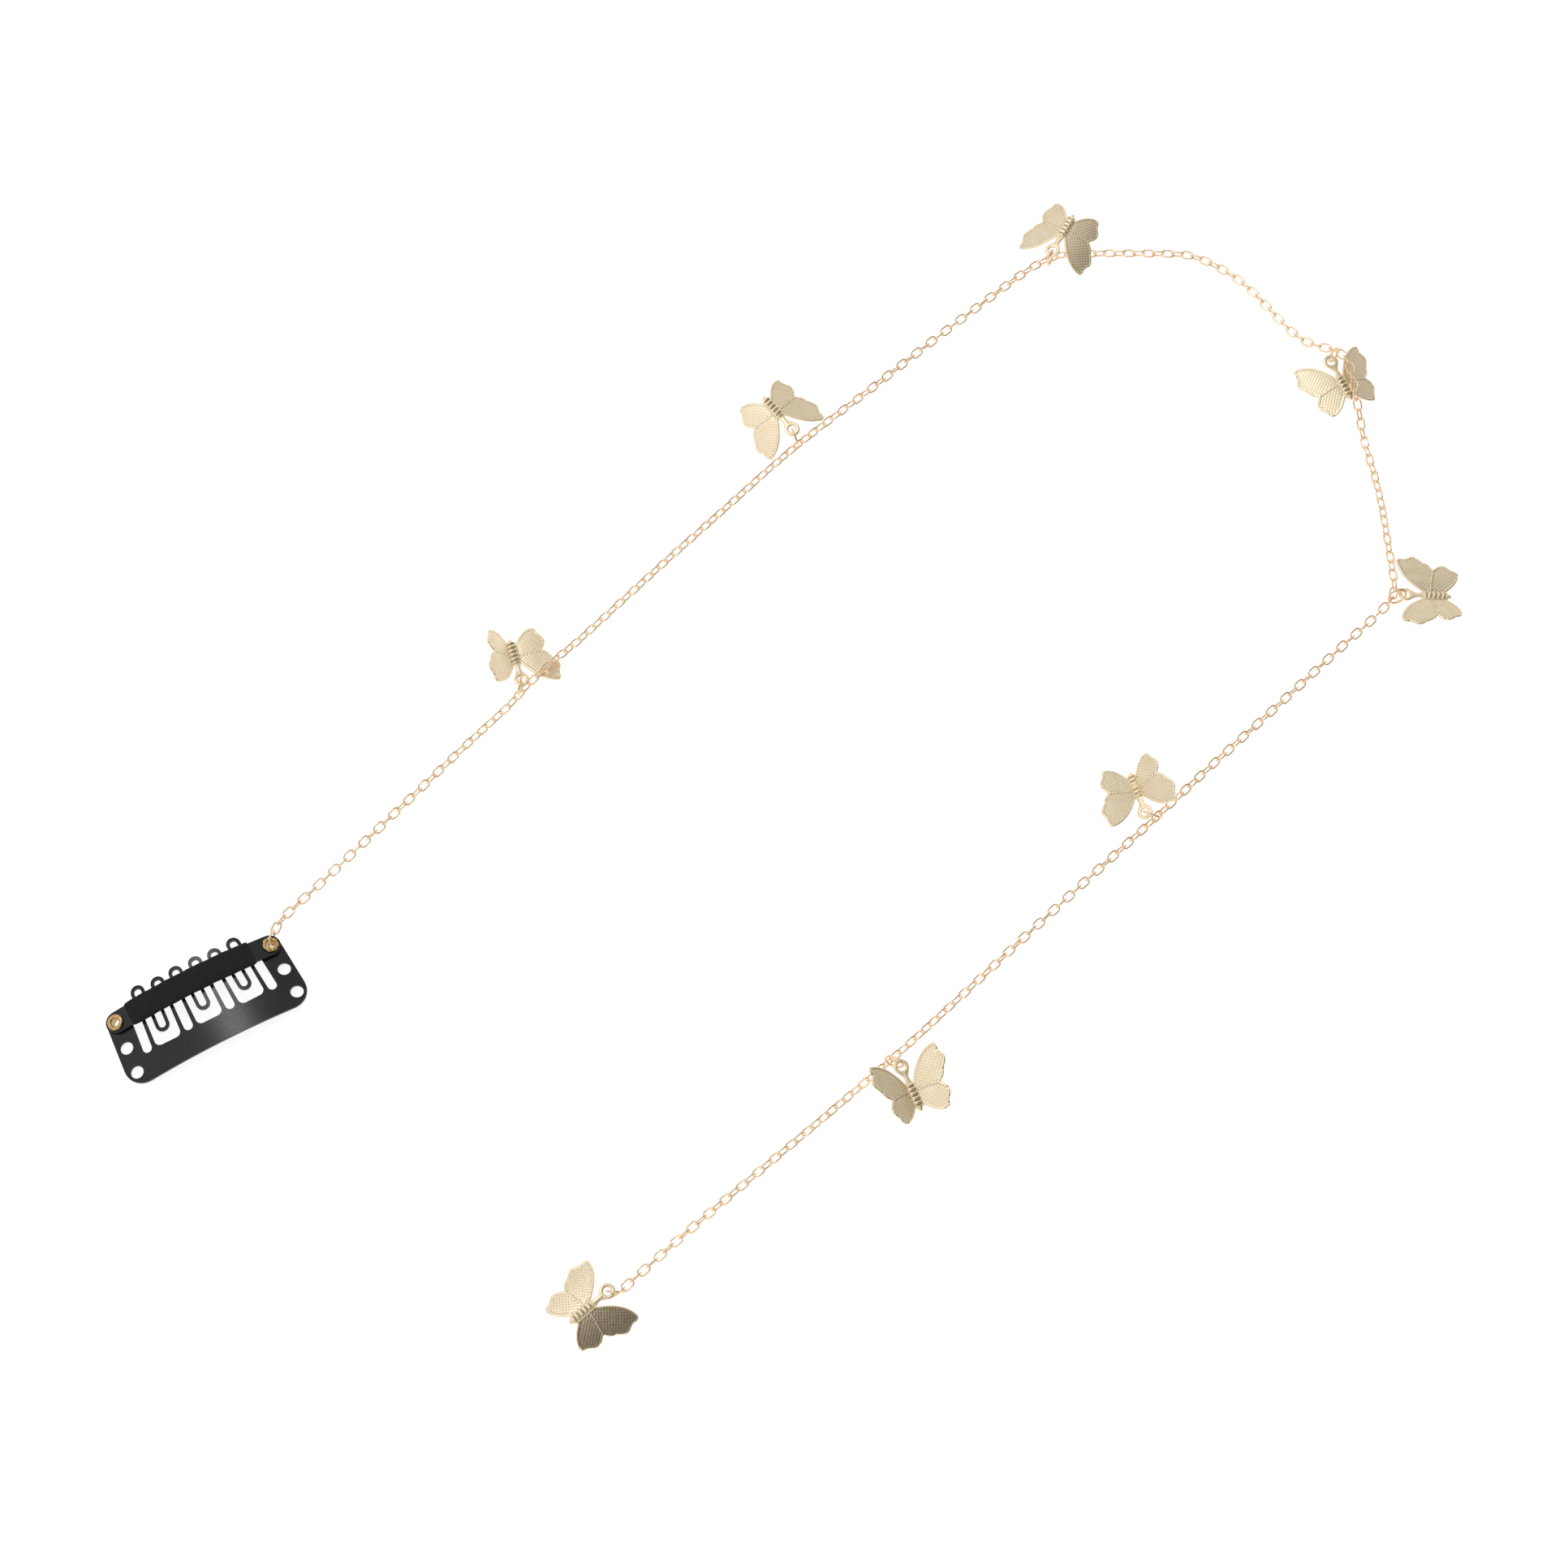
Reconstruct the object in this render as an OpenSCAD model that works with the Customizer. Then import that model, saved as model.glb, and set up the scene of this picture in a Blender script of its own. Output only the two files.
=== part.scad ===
// Hair chain: a snap comb clip, a fine cable chain and eight stamped butterflies on jump rings.
// Millimetres. The table is z = 0 and X runs along the longer side of the laid-out loop.

/* [Clip] */
// Distance between the two rivet eyelets
eyelet_spacing = 27.1; // [24:0.1:30]
// Radius of the arch the comb plate is bent to
plate_arch = 66; // [55:1:80]
// Thickness of the comb plate
plate_thickness = 0.45; // [0.3:0.05:0.6]
// How far the plate reaches below the line of the eyelets
plate_depth = 11.3; // [10.8:0.1:14]
// How far the plate and the teeth's bases reach above that line
plate_top = 1.95; // [1.7:0.05:2.2]
// How far the plate's lower corners reach past the eyelets
plate_side = 2.35; // [2:0.05:3]
// Radius of the plate's two lower corners
plate_corner = 3.3; // [2:0.1:5]
// Distance between neighbouring openings of the comb
opening_pitch = 7; // [6.6:0.05:7.4]
// Width of the three wide openings
opening_width = 4.4; // [4:0.05:4.6]
// Width of the four narrow slots
slot_width = 1.5; // [1:0.05:1.6]
// How far slots and openings reach below the line of the eyelets
opening_depth = 7.05; // [6.5:0.05:8]
// Width of the bent strips that make the teeth
tooth_wire = 0.58; // [0.5:0.02:0.7]
// How far the U-shaped fingers reach down into the openings
finger_depth = 5.1; // [4.5:0.1:6]
// Height of the centres of the teeth's rounded tips
tip_height = 2.8; // [2.3:0.05:3]
// Diameter of the four sewing holes
sewing_hole = 2.1; // [1.6:0.1:2.3]
// Width of the back bar
bar_width = 3.55; // [3:0.05:3.7]
// Thickness of the back bar
bar_thickness = 0.4; // [0.3:0.05:0.6]
// Length of the rubber sleeve on the back bar
sleeve_length = 21.5; // [16:0.5:22.5]
// Wall of the rubber sleeve above the bar
sleeve_wall = 0.45; // [0.3:0.05:0.7]
// Outer diameter of the eyelets' upper rims
eyelet_rim = 2.66; // [2.3:0.02:2.9]
// Diameter of the opening through an eyelet
eyelet_hole = 1.3; // [1.24:0.02:1.4]

/* [Chain] */
// Outer length of one link
link_length = 2.42; // [2.36:0.01:2.46]
// Outer width of one link
link_width = 1.6; // [1.5:0.01:1.65]
// Diameter of the links' wire
link_wire = 0.3; // [0.24:0.01:0.32]
// Distance from one link to the next
link_pitch = 1.7; // [1.68:0.01:1.72]

/* [Jump rings] */
// Diameter of the jump rings' wire
ring_wire = 0.4; // [0.3:0.01:0.42]
// Distance between the straight sides of a jump ring, wire centre to wire centre
ring_width = 2.2; // [2.1:0.02:2.3]
// Length of the straight sides of a jump ring
ring_straight = 0.8; // [0.6:0.02:1]

/* [Butterflies] */
// Thickness of the stamped sheet at its raised borders
sheet = 0.4; // [0.3:0.02:0.44]
// How far the borders and veins stand out of the sheet
relief = 0.12; // [0.06:0.02:0.16]
// Width of the raised borders
border = 0.42; // [0.3:0.02:0.6]
// Width of the ridged body
body_width = 1.3; // [1.1:0.05:1.4]
// Outer diameter of the hanging eye
eye_size = 2.6; // [2.4:0.02:2.64]
// Diameter of the opening in the hanging eye
eye_hole = 1.3; // [1.24:0.02:1.4]

/* [Hidden] */
$fn = 48;
count = 8;
black = [0.2, 0.21, 0.22];
rubber = [0.16, 0.17, 0.17];
brass = [0.74, 0.62, 0.36];
gold = [0.86, 0.7, 0.52];
pale_gold = [0.87, 0.8, 0.66];

// brings the middle of the whole to x = y = 0
shift = [-1.26, -2.55, 0];

// clip, in its own frame: x from eyelet to eyelet, y toward the teeth's tips
clip_at = [-100.38 + shift[0], 43.26 + shift[1]];
clip_turn = -14.8;
// the ring under its right end lifts that end a little
clip_tilt = 0.65;
fit = 0.04;
sleeve_mid = -0.4;
sleeve_side = 0.3;
sleeve_under = 0.16;
// slots, openings and teeth lean outward, the more the further they are from the middle
splay = 0.008;
tip_splay = 0.0128;
half = eyelet_spacing / 2;
top_r = plate_arch;
low_r = plate_arch - plate_thickness;
end_x = half + plate_side;
end_past = 1.78;
arch_down = sqrt(low_r * low_r - end_x * end_x);
eye_angle = asin(half / top_r);
eye_top = [half, 0, sqrt(top_r * top_r - half * half) - arch_down];
bar_gap = 0.3;
bar_rise = 0.15 + top_r - sqrt(top_r * top_r - half * half);
bar_foot = [half + bar_gap * sin(eye_angle), eye_top[2] + bar_gap * cos(eye_angle)];
bar_low_r = (bar_foot[0] * bar_foot[0] + bar_rise * bar_rise) / (2 * bar_rise);
bar_hole_x = half + (bar_gap + bar_thickness / 2) * sin(eye_angle);
bar_down = sqrt(bar_low_r * bar_low_r - bar_foot[0] * bar_foot[0]) - bar_foot[1];
barrel_r = eyelet_hole / 2 + 0.18;
rivet_hole_r = barrel_r + 0.12;
low_hole_y = 2.38 - plate_depth;
hole_spacing = 4.45;
tooth_x = opening_width / 2 + tooth_wire / 2 + 0.12;
arm_x = tooth_x - 2 * 0.875;
tip_r = (tooth_x - arm_x) / 2;
clip_rise = end_x * sin(clip_tilt);

// the plate's outline runs round a lobe at each eyelet and a foot at each lower corner
lobe = [half + end_past - plate_top, 0];
foot = [end_x - plate_corner, plate_corner - plate_depth];
side_turn = atan2(foot[1], foot[0] - lobe[0]) + acos((plate_top - plate_corner) / norm(foot - lobe));
function around(p, r, a) = p + r * [cos(a), sin(a)];
plate_edge = concat([for (t = [0:0.1:1]) around(foot, plate_corner, side_turn * t - 90 * (1 - t))],
                    [for (t = [0:0.1:1]) around(lobe, plate_top, 90 * t + side_turn * (1 - t))]);
last_edge = len(plate_edge) - 1;

function about(p, a) = [p[0] * cos(a) - p[1] * sin(a), p[0] * sin(a) + p[1] * cos(a)];
function clip_point(p) = let (x = p[0] * cos(clip_tilt) - p[2] * sin(clip_tilt),
                              z = p[0] * sin(clip_tilt) + p[2] * cos(clip_tilt),
                              q = about([x, p[1]], clip_turn))
    [clip_at[0] + q[0], clip_at[1] + q[1], z + clip_rise];

// ring from the right eyelet round the plate's edge to the first link
clip_ring_r = 1.5;
clip_ring_wire = 0.3;
clip_ring_turn = 50 + clip_turn;
hole_mid = clip_point(eye_top + 0.1 * [sin(eye_angle), 0, cos(eye_angle)]);
function past_hole(r) = [hole_mid[0], hole_mid[1]] + about([r, 0.06], clip_ring_turn);
clip_ring_at = concat(past_hole(1.24), clip_ring_r + clip_ring_wire / 2 + 0.02);
chain_start = concat(past_hole(2.5), 0.55);

// the chain's way over the table: x, y and the height it is lifted off the table
route = [chain_start - shift, [-83.3, 42.15, 0.3], [-80, 42.6, 0], [-72, 43, 0], [-57, 44, 0], [-42, 45, 0],
    [-31.5, 45.45, 0.1], [-27.5, 45.7, 0.9], [-23.5, 45.9, 1.3], [-19.5, 46.1, 1.1], [-15.5, 46.4, 0.1],
    [-11, 46.6, 0], [5, 47.3, 0], [21, 47.8, 0], [36, 48.2, 0], [52, 47.6, 0], [67, 47, 0], [82, 46.2, 0],
    [91, 45.5, 0], [96.2, 44, 0], [100.6, 40.3, 0], [105, 36.2, 0], [108.7, 32.6, 0], [111, 30.3, 0],
    [113.1, 27.6, 0], [114.6, 23.5, 0], [115.4, 19, 0], [115.4, 14.5, 0], [114.9, 9, 0], [114.6, 4.6, 0],
    [115.1, 1.2, 0.4], [116.2, -1.8, 1.2], [116.7, -4.2, 2.05], [116, -6.4, 2.55], [114.5, -8.8, 2.6],
    [112.6, -11.3, 2.3], [110.8, -14.2, 1], [108.2, -17.9, 0], [104.6, -23.7, 0], [100.7, -29.2, 0],
    [96.4, -34.6, 0], [93.2, -38.6, 0], [90.6, -41.3, 0], [86.5, -42.1, 0], [75.3, -42.1, 0],
    [60.4, -42.2, 0], [45.5, -42.2, 0], [31, -42.4, 0], [16.2, -42.4, 0], [1.4, -42.5, 0],
    [-12.9, -42.7, 0], [-27.3, -42.7, 0], [-42.4, -42.3, 0], [-57.1, -41.7, 0], [-71.8, -41.2, 0],
    [-86, -41.1, 0]];
// butterflies: eye x, eye y, yaw, pitch, roll, left fold, right fold, ring's tilt
charms = [
    [-26.42, 47.38, 154, 1.9, -12, 3, 38, 91],
    [38.06, 50.23, 177, -5.1, 3, -20, -20, 76],
    [95.19, 44.68, 107, -5.7, 4, -20, -20, 59],
    [114.07, -4.17, 342.5, 8, 4.7, -16, -16, 63],
    [91.69, -42.9, 45.3, 5.8, 10, 11, 11, 54],
    [31.85, -40.67, 153, 7.1, 17, 26, 25, 68],
    [-27.33, -44.82, 341, 7.4, 8.6, 26, 26, 72],
    [-85.89, -40.24, 270, -5.9, 5, -20, -20, 67]];
// the links they hang on: how far past the route's anchor, roll about the chain's line,
// and how many links the run before each of them has
anchor = 4;
stations = [[28.533, 74.9, 33], [94.833, 69.2, 39], [152.633, -8.1, 34], [208.733, 23.4, 33],
    [258.033, 76.7, 29], [314.133, 45, 33], [375.333, 135, 36], [431.433, 79.1, 33]];

function bend(a, b, c, d, t) = 0.5 * (2 * b + (c - a) * t + (2 * a - 5 * b + 4 * c - d) * t * t
                                      + (3 * b - a - 3 * c + d) * t * t * t);
function ahead(p, i) = i < 0 ? 2 * p[0] - p[1]
    : i >= len(p) ? 2 * p[len(p) - 1] - p[len(p) - 2] : p[i];
steps = 8;
way = [for (i = [0:len(route) - 2], j = [0:i == len(route) - 2 ? steps : steps - 1])
    shift + bend(ahead(route, i - 1), route[i], route[i + 1], ahead(route, i + 2), j / steps)];
far = [for (i = 0, t = 0; i < len(way);
            t = t + (i + 1 < len(way) ? norm(way[i + 1] - way[i]) : 0), i = i + 1) t];
hung_at = [for (q = stations) far[anchor * steps] + q[0]];
// a run keeps its count odd or even, so that the links at its ends keep their turn
runs = [for (k = [0:count - 1]) let (n = stations[k][2],
                                     s = hung_at[k] - (k == 0 ? link_pitch / 2 : hung_at[k - 1]))
    n + 2 * round((s / link_pitch - n) / 2)];
hung_on = [for (k = 0, n = runs[0]; k < count; k = k + 1, n = n + (k < count ? runs[k] : 0)) n];
links = hung_on[count - 1] + 1;
marks = concat([[-0.5, 0]], [for (k = [0:count - 1]) [hung_on[k], hung_at[k]]],
               [[links, hung_at[count - 1] + link_pitch]]);
rolls = concat([[0, 0]], [for (k = [0:count - 1]) [hung_at[k], stations[k][1]]]);
way_x = [for (i = [0:len(way) - 1]) [far[i], way[i][0]]];
way_y = [for (i = [0:len(way) - 1]) [far[i], way[i][1]]];
way_z = [for (i = [0:len(way) - 1]) [far[i], way[i][2]]];
function on_way(s) = [lookup(s, way_x), lookup(s, way_y), lookup(s, way_z)];
function mark(i) = lookup(i, marks);
function roll_at(s) = lookup(s, rolls);
function link_roll(i) = roll_at(mark(i)) + (i % 2) * 90;
function axis_height(s) = max(abs(sin(roll_at(s))), abs(cos(roll_at(s)))) * (link_width - link_wire) / 2
    + link_wire / 2;
function link_at(i) = (on_way(mark(i - 0.5)) + on_way(mark(i + 0.5))) / 2 + [0, 0, axis_height(mark(i))];
function link_line(i) = let (d = on_way(mark(i + 0.5)) - on_way(mark(i - 0.5))) d / norm(d);
first_run = hung_on[2] + 2;
beside = 1;
tube_r = 0.58;
tube_sides = 8;
tube_step = 3.6;

// butterfly, eye toward +y, right wing; the left wing mirrors it
hinge = 0.45;
eye_y = 5.1;
wing = [[0.3, 0.2], [0.3, 1.5], [0.9, 2.6], [1.75, 3.8], [2.75, 4.95], [3.9, 5.85], [5.1, 6.4], [6.2, 6.6],
    [6.65, 6.1], [6.55, 5.2], [6.75, 4.6], [7.1, 4.1], [7.1, 3.4], [6.7, 2.7], [6.2, 2.1], [5.9, 1.3],
    [5.4, 0.7], [4.75, 0.35], [5.25, -0.15], [5.65, -0.8], [5.7, -1.6], [5.35, -2.3], [4.85, -2.8],
    [4.75, -3.5], [4.35, -3.95], [3.6, -4], [2.6, -3.6], [1.6, -2.8], [0.9, -1.9], [0.3, -1.3]];
seam = [[0.3, 0.55], [2.2, 0.5], [3.9, 0.2], [4.9, 0.1], [4.9, 0.5], [3.9, 0.62], [2.2, 0.95], [0.3, 1.05]];
function soft(p) = [for (i = [0:len(p) - 1]) for (t = [0.25, 0.75]) p[i] * (1 - t) + p[(i + 1) % len(p)] * t];
edge = soft(wing);
function across(p, a) = [p[0] * cos(a) + p[2] * sin(a), p[1], p[2] * cos(a) - p[0] * sin(a)];
function nod(p, a) = [p[0], p[1] * cos(a) - p[2] * sin(a), p[1] * sin(a) + p[2] * cos(a)];
function spin(p, a) = [p[0] * cos(a) - p[1] * sin(a), p[0] * sin(a) + p[1] * cos(a), p[2]];
function posed(p, c) = spin(nod(across(p, c[4]), c[3]), c[2]);
function wing_point(p, side, fold) = [side * (hinge + (p[0] - hinge) * cos(fold)), p[1],
                                      (p[0] - hinge) * sin(fold)];
function outline(c) = concat([for (p = edge) posed(wing_point(p, 1, c[6]), c)],
    [for (p = edge) posed(wing_point(p, -1, c[5]), c)],
    [for (a = [0:15:345]) posed([eye_size / 2 * cos(a), eye_y + eye_size / 2 * sin(a), 0], c)],
    [for (x = [-1, 1], y = [-2, 2]) posed([x * body_width / 2, y, 0], c)]);
charm_height = [for (c = charms) sheet / 2 - min([for (p = outline(c)) p[2]])];
function eye_at(k) = let (c = charms[k]) [c[0], c[1], charm_height[k] + posed([0, eye_y, 0], c)[2]] + shift;
function charm_at(k) = eye_at(k) - posed([0, eye_y, 0], charms[k]);

module arch(low, high, down)
    translate([0, 0, -down])
        rotate([90, 0, 0])
            difference() {
                cylinder(h = 2 * low, r = high, center = true, $fn = 180);
                cylinder(h = 3 * low, r = low, center = true, $fn = 180);
            }

module placed_clip()
    translate([clip_at[0], clip_at[1], clip_rise])
        rotate([0, 0, clip_turn])
            rotate([0, -clip_tilt, 0])
                children();

module box2(x0, x1, y0, y1)
    translate([x0, y0])
        square([x1 - x0, y1 - y0]);

module leaning(x, lean)
    translate([x, 0])
        rotate(atan(lean * x))
            children();

module slot_shape(x)
    leaning(x, splay) {
        box2(-slot_width / 2, slot_width / 2, slot_width / 2 - opening_depth, plate_top + 1);
        translate([0, slot_width / 2 - opening_depth])
            circle(slot_width / 2);
    }

module opening_shape(x)
    leaning(x, splay) {
        w = opening_width / 2;
        r = 0.95;
        box2(-w, w, r - opening_depth, plate_top + 1);
        box2(r - w, w - r, -opening_depth, plate_top + 1);
        for (e = [-1, 1])
            translate([e * (w - r), r - opening_depth])
                circle(r);
    }

module strip(x, y0, y1)
    box2(x - tooth_wire / 2, x + tooth_wire / 2, y0, y1);

module tooth(x) {
    r = tip_r + tooth_wire / 2;
    q = tip_r - tooth_wire / 2;
    c = finger_depth - arm_x - tooth_wire / 2;
    leaning(x, tip_splay)
        for (e = [-1, 1]) {
            translate([e * (tooth_x + arm_x) / 2, tip_height])
                difference() {
                    circle(r);
                    circle(q);
                    translate([-3, -3])
                        square([6, 3]);
                }
            strip(e * tooth_x, 0, tip_height);
            strip(e * arm_x, 0, tip_height);
        }
    leaning(x, splay) {
        for (e = [-1, 1])
            strip(e * arm_x, -c, 0.3);
        translate([0, -c])
            difference() {
                circle(arm_x + tooth_wire / 2);
                circle(arm_x - tooth_wire / 2);
                translate([-3, 0])
                    square([6, 3]);
            }
    }
}

module plate_shape() {
    difference() {
        polygon(concat(plate_edge, [for (i = [last_edge:-1:0]) [-plate_edge[i][0], plate_edge[i][1]]]));
        for (i = [-1.5:1:1.5])
            slot_shape(i * opening_pitch);
        for (i = [-1:1])
            opening_shape(i * opening_pitch);
        for (e = [-1, 1]) {
            for (h = [[0.55, low_hole_y], [0.37, low_hole_y + hole_spacing]])
                translate([e * (half + h[0]), h[1]])
                    circle(sewing_hole / 2);
            translate([e * half, 0])
                circle(rivet_hole_r);
        }
    }
    for (i = [-1:1])
        tooth(i * opening_pitch);
}

module comb_plate()
    color(black)
        placed_clip()
            intersection() {
                arch(low_r, top_r, arch_down);
                linear_extrude(plate_arch)
                    plate_shape();
            }

module back_bar()
    color(black)
        placed_clip()
            intersection() {
                arch(bar_low_r, bar_low_r + bar_thickness, bar_down);
                linear_extrude(plate_arch)
                    difference() {
                        union() {
                            box2(-half, half, -bar_width / 2, bar_width / 2);
                            for (e = [-1, 1])
                                translate([e * half, 0])
                                    circle(bar_width / 2);
                        }
                        for (e = [-1, 1])
                            translate([e * bar_hole_x, 0])
                                circle(rivet_hole_r);
                    }
            }

module bar_sleeve()
    color(rubber)
        placed_clip()
            intersection() {
                difference() {
                    arch(bar_low_r - fit - sleeve_under,
                         bar_low_r + bar_thickness + fit + sleeve_wall, bar_down);
                    intersection() {
                        arch(bar_low_r - fit, bar_low_r + bar_thickness + fit, bar_down);
                        cube([2 * plate_arch, bar_width + 2 * fit, 2 * plate_arch], center = true);
                    }
                }
                linear_extrude(plate_arch)
                    box2(sleeve_mid - sleeve_length / 2, sleeve_mid + sleeve_length / 2,
                         -bar_width / 2 - sleeve_side, bar_width / 2 + sleeve_side);
            }

module eyelet(side) {
    low = -plate_thickness - fit;
    high = bar_gap + bar_thickness + fit + 0.1;
    in = eyelet_hole / 2;
    out = eyelet_rim / 2;
    color(brass)
        placed_clip()
            translate([side * eye_top[0], 0, eye_top[2]])
                rotate([0, side * eye_angle, 0])
                    rotate_extrude()
                        polygon([[in, low - 0.12], [out - 0.2, low - 0.12], [out - 0.2, low], [barrel_r, low],
                                 [barrel_r, high], [out, high], [out, high + 0.12], [out - 0.14, high + 0.28],
                                 [out - 0.36, high + 0.34], [in + 0.12, high + 0.3], [in, high + 0.16]]);
}

module clip_ring()
    color(gold)
        translate(clip_ring_at)
            rotate([0, 0, clip_ring_turn])
                rotate([90, 0, 0])
                    rotate_extrude()
                        translate([clip_ring_r, 0])
                            circle(clip_ring_wire / 2, $fn = 24);

module oval(width, straight, wire)
    for (e = [1, -1]) {
        translate([e * straight / 2, 0, 0])
            rotate([0, 0, -90 * e])
                rotate_extrude(angle = 180)
                    translate([width / 2, 0])
                        circle(wire / 2, $fn = 24);
        translate([-straight / 2, e * width / 2, 0])
            rotate([0, 90, 0])
                cylinder(h = straight, r = wire / 2, $fn = 24);
    }

module link(i) {
    d = link_line(i);
    translate(link_at(i))
        rotate([0, 0, atan2(d[1], d[0])])
            rotate([0, -asin(d[2]), 0])
                rotate([link_roll(i), 0, 0])
                    oval(link_width - link_wire, link_length - link_width, link_wire);
}

module tube(s0, s1) {
    n = max(1, ceil((s1 - s0) / tube_step));
    at = [for (i = [0:n]) s0 + (s1 - s0) * i / n];
    points = [for (s = at) let (d = on_way(s + 0.2) - on_way(s - 0.2), u = d / norm(d),
                                v = [-u[1], u[0], 0] / norm([u[0], u[1]]), w = cross(u, v),
                                c = on_way(s) + [0, 0, axis_height(s)])
        for (j = [0:tube_sides - 1])
            c + tube_r * (cos(360 * (j + 0.5) / tube_sides) * v + sin(360 * (j + 0.5) / tube_sides) * w)];
    faces = concat([[for (j = [0:tube_sides - 1]) j]],
        [[for (j = [0:tube_sides - 1]) n * tube_sides + tube_sides - 1 - j]],
        [for (i = [0:n - 1], j = [0:tube_sides - 1]) let (a = i * tube_sides, b = a + tube_sides,
                                                          k = (j + 1) % tube_sides)
            [a + j, b + j, b + k, a + k]]);
    polyhedron(points, faces);
}

module chain_first_run()
    color(gold)
        for (i = [0:first_run - 1])
            link(i);

module chain_second_run()
    color(gold) {
        for (k = [3:count - 1], i = [hung_on[k] - beside:min(hung_on[k] + beside, links - 1)])
            link(i);
        for (k = [3:count - 1])
            tube(mark((k == 3 ? first_run : hung_on[k - 1] + beside + 1) - 0.5) + 0.5,
                 mark(hung_on[k] - beside - 0.5) - 0.5);
    }

// each ring passes through its link and its butterfly's eye
module jump_ring(k) {
    c = charms[k];
    from = link_at(hung_on[k]);
    span = eye_at(k) - from;
    a = span / norm(span);
    side = cross([0, 0, 1], a) / norm(cross([0, 0, 1], a));
    w = side * cos(c[7]) + cross(a, side) * sin(c[7]);
    reach = max(0, norm(span) / 2 - ring_straight / 2);
    out = sqrt(max(0, ring_width * ring_width / 4 - reach * reach));
    n = cross(a, w);
    at = from + span / 2 + out * w;
    color(gold)
        multmatrix([[a[0], w[0], n[0], at[0]], [a[1], w[1], n[1], at[1]], [a[2], w[2], n[2], at[2]],
                    [0, 0, 0, 1]])
            oval(ring_width, ring_straight, ring_wire);
}

module wing_half(fold)
    translate([hinge, 0, 0])
        rotate([0, -fold, 0])
            translate([-hinge, 0, 0]) {
                translate([0, 0, -sheet / 2])
                    linear_extrude(sheet - relief)
                        polygon(edge);
                translate([0, 0, -sheet / 2])
                    linear_extrude(sheet)
                        difference() {
                            polygon(edge);
                            offset(delta = -border)
                                polygon(edge);
                        }
                translate([0, 0, -sheet / 2])
                    linear_extrude(sheet)
                        intersection() {
                            polygon(edge);
                            polygon(seam);
                        }
            }

module body() {
    b = body_width / 2;
    ridge = 0.76;
    difference() {
        rotate([-90, 0, 0])
            rotate_extrude()
                polygon(concat([[0, -2.3], [b * 0.4, -2.25]],
                    [for (i = [0:4]) for (q = [[0, 0.72], [0.2, 0.96], [0.5, 1], [0.8, 0.96]])
                        [b * q[1], -1.95 + ridge * (i + q[0])]],
                    [[b * 0.72, -1.95 + 5 * ridge], [b * 0.5, 2.15], [0, 2.25]]));
        translate([-2, -3, -2 - sheet / 2])
            cube([4, 6, 2]);
    }
}

module eye()
    translate([0, 0, -sheet / 2])
        linear_extrude(sheet)
            difference() {
                union() {
                    translate([0, eye_y])
                        circle(eye_size / 2);
                    polygon([[-0.42, 0], [0.42, 0], [0.42, 2.7], [0.75, 4.1], [-0.75, 4.1], [-0.42, 2.7]]);
                }
                translate([0, eye_y])
                    circle(eye_hole / 2);
            }

module butterfly(k) {
    c = charms[k];
    color(pale_gold)
        translate(charm_at(k))
            rotate([0, 0, c[2]])
                rotate([c[3], 0, 0])
                    rotate([0, c[4], 0])
                        union() {
                            wing_half(c[6]);
                            mirror([1, 0, 0])
                                wing_half(c[5]);
                            body();
                            eye();
                        }
}

comb_plate();
back_bar();
bar_sleeve();
eyelet(-1);  // eyelet_left
eyelet(1);  // eyelet_right
clip_ring();
chain_first_run();
chain_second_run();
jump_ring(0);  // jump_ring_1
jump_ring(1);  // jump_ring_2
jump_ring(2);  // jump_ring_3
jump_ring(3);  // jump_ring_4
jump_ring(4);  // jump_ring_5
jump_ring(5);  // jump_ring_6
jump_ring(6);  // jump_ring_7
jump_ring(7);  // jump_ring_8
butterfly(0);  // butterfly_1
butterfly(1);  // butterfly_2
butterfly(2);  // butterfly_3
butterfly(3);  // butterfly_4
butterfly(4);  // butterfly_5
butterfly(5);  // butterfly_6
butterfly(6);  // butterfly_7
butterfly(7);  // butterfly_8
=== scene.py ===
"""Looks of the hair chain: real links, stamped butterflies, rings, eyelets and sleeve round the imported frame.

Blender's unit is the metre. Lengths below are in millimetres and pass through MM when a mesh is made.
SHIFT moves the x and y of the tables below into the frame, and z = 0 is the table.
"""

import math
import random
from collections import namedtuple

import bpy
import numpy as np
from mathutils import Matrix, Vector
from mathutils.geometry import delaunay_2d_cdt


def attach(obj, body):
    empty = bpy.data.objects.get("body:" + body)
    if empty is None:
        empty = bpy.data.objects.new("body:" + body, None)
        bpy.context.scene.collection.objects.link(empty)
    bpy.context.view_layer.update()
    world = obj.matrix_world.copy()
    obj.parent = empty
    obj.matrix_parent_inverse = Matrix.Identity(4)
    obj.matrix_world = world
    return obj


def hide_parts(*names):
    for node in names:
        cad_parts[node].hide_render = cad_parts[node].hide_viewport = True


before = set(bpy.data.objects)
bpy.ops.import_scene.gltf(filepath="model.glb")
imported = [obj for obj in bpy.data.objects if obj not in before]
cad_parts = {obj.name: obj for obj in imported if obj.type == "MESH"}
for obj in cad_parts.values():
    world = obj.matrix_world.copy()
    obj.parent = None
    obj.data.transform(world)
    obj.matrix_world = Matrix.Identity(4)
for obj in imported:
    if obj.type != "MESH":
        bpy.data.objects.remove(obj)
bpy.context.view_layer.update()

MM = 0.001
BODY = "root"
SHIFT = np.array([-1.26, -2.55, 0.0])

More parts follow.
